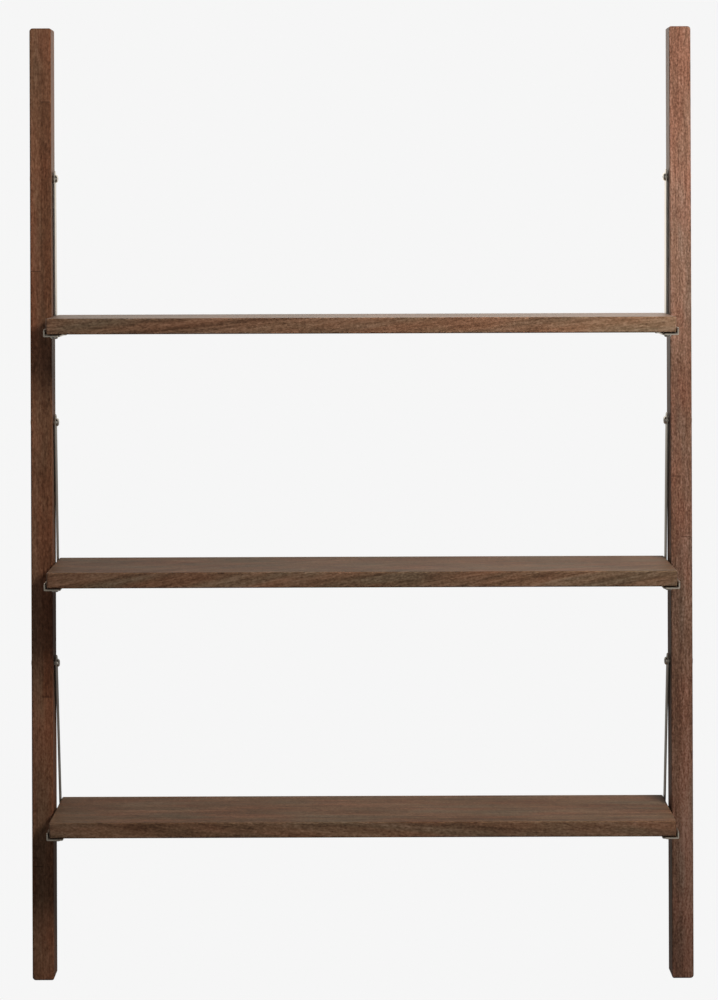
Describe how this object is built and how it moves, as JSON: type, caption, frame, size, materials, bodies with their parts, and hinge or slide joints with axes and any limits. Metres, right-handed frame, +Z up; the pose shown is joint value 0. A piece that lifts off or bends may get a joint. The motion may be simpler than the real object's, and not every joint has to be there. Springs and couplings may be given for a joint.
{
  "type": "ladder shelf",
  "caption": "Leaning wood ladder shelf: flat boards between two uprights, each board end on an L-angle arm hung by a flat metal strap and bolt.",
  "frame": {"origin": "centre of the base on the floor, in the middle of the width and of the depth", "axes": "+Z up, +X to the right seen from the front, +Y back to the wall; the uprights lean 5.5 degrees to +Y"},
  "size_m": [1.0052, 0.2692, 1.4334],
  "materials": {
    "upright_wood": "dark stained, open grain, satin",
    "shelf_wood": "dark stained, open grain, satin",
    "bracket_metal": "warm grey antique plating",
    "fastener_metal": "warm grey antique plating",
    "pad_rubber": "matt black"
  },
  "bodies": {
    "root": {"left_upright": "upright_wood", "right_upright": "upright_wood", "top_shelf": "shelf_wood", "middle_shelf": "shelf_wood", "bottom_shelf": "shelf_wood", "top_left_arm": "bracket_metal", "top_left_strap": "bracket_metal", "top_left_bolt": "fastener_metal", "top_left_dome_nut": "fastener_metal", "top_left_spacer": "fastener_metal", "top_left_rivets": "fastener_metal", "top_left_arm_screw": "fastener_metal", "top_left_shelf_screws": "fastener_metal", "top_left_pads": "pad_rubber", "top_right_arm": "bracket_metal", "top_right_strap": "bracket_metal", "top_right_bolt": "fastener_metal", "top_right_dome_nut": "fastener_metal", "top_right_spacer": "fastener_metal", "top_right_rivets": "fastener_metal", "top_right_arm_screw": "fastener_metal", "top_right_shelf_screws": "fastener_metal", "top_right_pads": "pad_rubber", "middle_left_arm": "bracket_metal", "middle_left_strap": "bracket_metal", "middle_left_bolt": "fastener_metal", "middle_left_dome_nut": "fastener_metal", "middle_left_spacer": "fastener_metal", "middle_left_rivets": "fastener_metal", "middle_left_arm_screw": "fastener_metal", "middle_left_shelf_screws": "fastener_metal", "middle_left_pads": "pad_rubber", "middle_right_arm": "bracket_metal", "middle_right_strap": "bracket_metal", "middle_right_bolt": "fastener_metal", "middle_right_dome_nut": "fastener_metal", "middle_right_spacer": "fastener_metal", "middle_right_rivets": "fastener_metal", "middle_right_arm_screw": "fastener_metal", "middle_right_shelf_screws": "fastener_metal", "middle_right_pads": "pad_rubber", "bottom_left_arm": "bracket_metal", "bottom_left_strap": "bracket_metal", "bottom_left_bolt": "fastener_metal", "bottom_left_dome_nut": "fastener_metal", "bottom_left_spacer": "fastener_metal", "bottom_left_rivets": "fastener_metal", "bottom_left_arm_screw": "fastener_metal", "bottom_left_shelf_screws": "fastener_metal", "bottom_left_pads": "pad_rubber", "bottom_right_arm": "bracket_metal", "bottom_right_strap": "bracket_metal", "bottom_right_bolt": "fastener_metal", "bottom_right_dome_nut": "fastener_metal", "bottom_right_spacer": "fastener_metal", "bottom_right_rivets": "fastener_metal", "bottom_right_arm_screw": "fastener_metal", "bottom_right_shelf_screws": "fastener_metal", "bottom_right_pads": "pad_rubber"}
  },
  "joints": []
}
